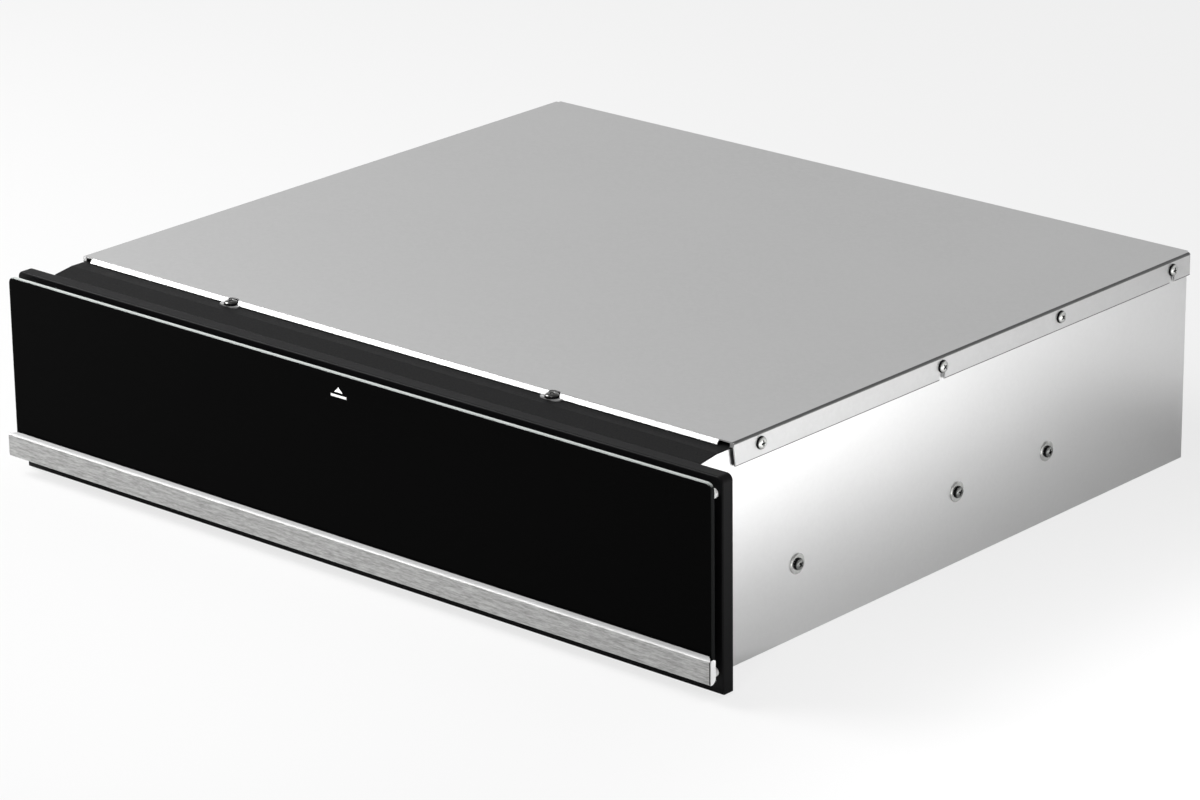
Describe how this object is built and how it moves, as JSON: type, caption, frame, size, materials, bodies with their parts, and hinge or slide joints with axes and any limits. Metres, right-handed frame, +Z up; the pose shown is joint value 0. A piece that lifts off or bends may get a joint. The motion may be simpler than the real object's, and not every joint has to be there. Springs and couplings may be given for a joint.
{
  "type": "built-in warming drawer",
  "caption": "Low built-in warming drawer: sheet-steel housing with black frame, and a push-to-open drawer with black glass front, steel trim and hot-air unit, on ball-bearing slides.",
  "frame": {"origin": "middle of the footprint on the underside", "axes": "+Z up, the glass front faces -Y, X runs across the front"},
  "size_m": [0.598, 0.5192, 0.1415],
  "materials": {
    "zinc_sheet": "satin galvanised sheet",
    "black_sheet": "black powder coat",
    "black_moulding": "fine matt black moulding",
    "white_rubber": "milky soft rubber",
    "plated_screw": "zinc-plated, turned",
    "rail_steel": "rolled zinc-plated steel",
    "cage_steel": "thin pressed strip",
    "ball_steel": "polished bearing steel",
    "tub_steel": "satin stainless sheet",
    "pan_steel": "black stoved enamel",
    "black_glass": "black enamelled float glass with polished edges",
    "trim_steel": "long-grain brushed stainless steel",
    "trim_cap": "satin pale moulded end cap",
    "mat_rubber": "ribbed dark grey silicone",
    "fascia_black": "fine-grained black ABS",
    "knob_black": "satin black knob",
    "spindle": "turned steel",
    "switch_black": "black nylon",
    "rocker_black": "glossy black",
    "lamp_red": "clear red lens",
    "impeller": "pressed aluminium",
    "stack": "varnished laminations",
    "coil_tape": "yellow winding tape",
    "element_sheath": "dark heat-tinted steel tube",
    "cutout": "phenolic",
    "latch_white": "white acetal",
    "terminal": "pale nylon"
  },
  "bodies": {
    "housing": {"side_panel_right": "zinc_sheet", "side_panel_left": "zinc_sheet", "base_panel": "zinc_sheet", "rear_panel": "zinc_sheet", "top_cover": "zinc_sheet", "front_shelf": "black_sheet", "front_frame": "black_moulding", "frame_bumpers": "white_rubber", "cover_side_screws": "plated_screw", "cover_front_screws": "plated_screw", "cover_rear_screws": "plated_screw", "slide_screws": "plated_screw", "slide_washers": "plated_screw", "frame_screws": "plated_screw", "outer_rail_right": "rail_steel", "outer_rail_left": "rail_steel", "latch_housing": "latch_white", "latch_bracket": "rail_steel", "latch_screws": "plated_screw", "cable_inlet": "fascia_black", "terminal_block": "terminal"},
    "middle_rails": {"middle_rail_right": "rail_steel", "middle_rail_left": "rail_steel"},
    "outer_cages": {"outer_cage_right": "cage_steel", "outer_cage_left": "cage_steel", "outer_slide_balls": "ball_steel"},
    "inner_cages": {"inner_cage_right": "cage_steel", "inner_cage_left": "cage_steel", "inner_slide_balls": "ball_steel"},
    "drawer": {"drawer_tub": "tub_steel", "inner_rail_right": "rail_steel", "inner_rail_left": "rail_steel", "rail_screws": "plated_screw", "front_pan": "pan_steel", "door_glass": "black_glass", "handle_trim": "trim_steel", "trim_cap_right": "trim_cap", "trim_cap_left": "trim_cap", "slip_mat": "mat_rubber", "control_fascia": "fascia_black", "heat_regulator": "fascia_black", "switch_housing": "switch_black", "pilot_lamp": "lamp_red", "air_baffle": "tub_steel", "motor_stator": "stack", "motor_coil": "coil_tape", "motor_brackets": "rail_steel", "motor_mount": "rail_steel", "ring_heater": "element_sheath", "heater_clips": "element_sheath", "heater_cutout": "cutout", "latch_striker": "rail_steel"},
    "knob": {"heat_knob": "knob_black", "regulator_spindle": "spindle"},
    "rocker": {"switch_rocker": "rocker_black"},
    "fan": {"fan_impeller": "impeller", "fan_shaft": "spindle"},
    "plunger": {"latch_plunger": "latch_white"}
  },
  "joints": [
    {"name": "drawer_slide", "type": "slide", "parent": "housing", "child": "drawer", "axis": [0, -1, 0], "range_m": [-0.0025, 0.385]},
    {"name": "middle_rail_slide", "type": "slide", "parent": "housing", "child": "middle_rails", "axis": [0, -1, 0], "range_m": [-0.00125, 0.1925]},
    {"name": "outer_cage_slide", "type": "slide", "parent": "housing", "child": "outer_cages", "axis": [0, -1, 0], "range_m": [-0.00063, 0.09625]},
    {"name": "inner_cage_slide", "type": "slide", "parent": "housing", "child": "inner_cages", "axis": [0, -1, 0], "range_m": [-0.00187, 0.28875]},
    {"name": "knob_turn", "type": "hinge", "parent": "drawer", "child": "knob", "pos_m": [0.19, -0.2279, 0.113], "axis": [0, 0, -1], "range_deg": [0, 270]},
    {"name": "rocker_tilt", "type": "hinge", "parent": "drawer", "child": "rocker", "pos_m": [0.13, -0.2279, 0.1106], "axis": [0, -1, 0], "range_deg": [0, 16]},
    {"name": "fan_spin", "type": "hinge", "parent": "drawer", "child": "fan", "pos_m": [0, 0.1306, 0.0618], "axis": [0, 1, 0], "continuous": true},
    {"name": "plunger_slide", "type": "slide", "parent": "housing", "child": "plunger", "axis": [0, -1, 0], "range_m": [-0.00005, 0.0077]}
  ],
  "couplings": [
    {"joint": "middle_rail_slide", "follows": "drawer_slide", "ratio": 0.5},
    {"joint": "outer_cage_slide", "follows": "drawer_slide", "ratio": 0.25},
    {"joint": "inner_cage_slide", "follows": "drawer_slide", "ratio": 0.75},
    {"joint": "plunger_slide", "follows": "drawer_slide", "ratio": 0.02}
  ]
}
